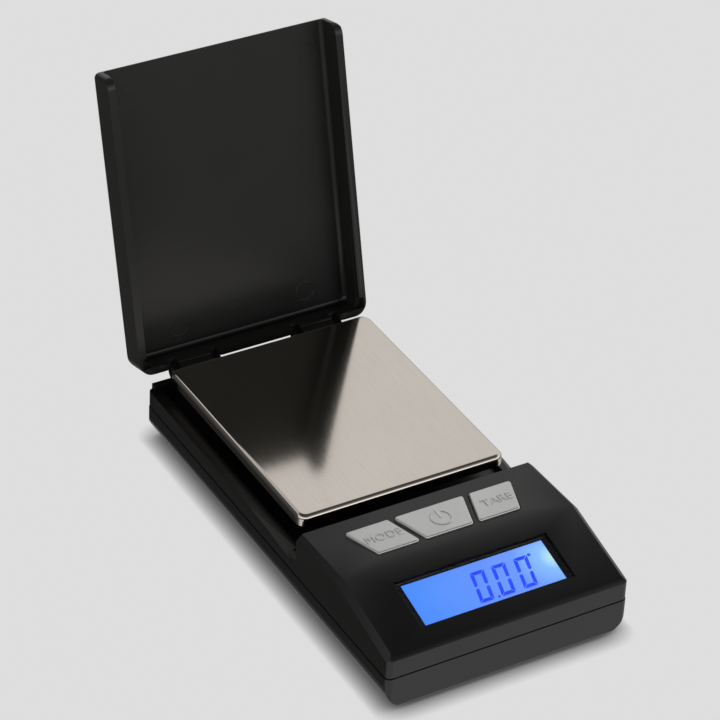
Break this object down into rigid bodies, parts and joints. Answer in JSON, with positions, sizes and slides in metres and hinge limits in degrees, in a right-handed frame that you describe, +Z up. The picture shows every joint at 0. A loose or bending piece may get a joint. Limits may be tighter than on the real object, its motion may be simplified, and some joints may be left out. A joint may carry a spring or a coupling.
{
  "type": "digital gram scale",
  "caption": "Folding pocket gram scale: flip-up lid on two pinned hinges, steel weighing platform on a load cell, sloped backlit display and push buttons.",
  "frame": {"origin": "middle of the whole scale's footprint with its lid open, on the surface that it stands on", "axes": "+Z up, +Y from the display end towards the hinges, +X to the right of someone reading the display"},
  "size_m": [0.0652, 0.1496, 0.0907],
  "materials": {
    "casing": "satin black moulded plastic with a very fine texture",
    "platform": "brushed stainless steel, rolled edges polished",
    "button": "silver satin paint over moulded plastic",
    "window": "clear polished window",
    "lcd": "backlit blue display with darker blue segments",
    "diffuser": "white light guide",
    "white_plastic": "moulded",
    "board": "green solder mask",
    "epoxy": "black moulded resin",
    "ribbon": "flexible amber film",
    "aluminium": "machined",
    "silicone": "white silicone coat",
    "battery": "plain dark sleeve",
    "rubber": "matt",
    "steel": "plain zinc plated"
  },
  "bodies": {
    "base": {"bottom_shell": "casing", "top_shell": "casing", "display_window": "window", "lcd_glass": "lcd", "lcd_backlight": "diffuser", "lcd_frame": "white_plastic", "lcd_ribbon": "ribbon", "main_board": "board", "controller_chip": "epoxy", "mode_switch": "epoxy", "power_switch": "epoxy", "tare_switch": "epoxy", "board_screw_left": "steel", "board_screw_right": "steel", "case_screw_front_left": "steel", "case_screw_front_right": "steel", "case_screw_rear_left": "steel", "case_screw_rear_right": "steel", "foot_front_left": "rubber", "foot_front_right": "rubber", "foot_rear_left": "rubber", "foot_rear_right": "rubber", "load_cell": "aluminium", "strain_gauge_cover": "silicone", "load_cell_screw_1": "steel", "load_cell_screw_2": "steel", "overload_stop": "steel", "battery_front": "battery", "battery_rear": "battery", "battery_spring_front": "steel", "battery_spring_rear": "steel", "battery_contact_bridge": "steel", "battery_contact_plus": "steel", "battery_contact_minus": "steel", "hinge_pin_left": "steel", "hinge_pin_right": "steel"},
    "lid": {"lid": "casing"},
    "platform": {"platform_tray": "platform", "platform_carrier": "casing", "carrier_screw_1": "steel", "carrier_screw_2": "steel"},
    "mode_button": {"mode_button": "button"},
    "power_button": {"power_button": "button"},
    "tare_button": {"tare_button": "button"},
    "battery_door": {"battery_door": "casing"}
  },
  "joints": [
    {"name": "lid_hinge", "type": "hinge", "parent": "base", "child": "lid", "pos_m": [0, 0.04775, 0.0147], "axis": [1, 0, 0], "range_deg": [0, 104.2]},
    {"name": "platform_press", "type": "slide", "parent": "base", "child": "platform", "axis": [0, 0, -1], "range_m": [0, 0.00025], "stiffness_N_per_m": 14000, "springref_m": -0.00006},
    {"name": "mode_press", "type": "slide", "parent": "base", "child": "mode_button", "axis": [0, 0, -1], "range_m": [0, 0.0005], "stiffness_N_per_m": 1200, "springref_m": -0.0004},
    {"name": "power_press", "type": "slide", "parent": "base", "child": "power_button", "axis": [0, 0, -1], "range_m": [0, 0.0005], "stiffness_N_per_m": 1200, "springref_m": -0.0004},
    {"name": "tare_press", "type": "slide", "parent": "base", "child": "tare_button", "axis": [0, 0, -1], "range_m": [0, 0.0005], "stiffness_N_per_m": 1200, "springref_m": -0.0004},
    {"name": "battery_door_removal", "type": "slide", "parent": "base", "child": "battery_door", "axis": [0, 0, -1], "range_m": [0, 0.012]}
  ]
}
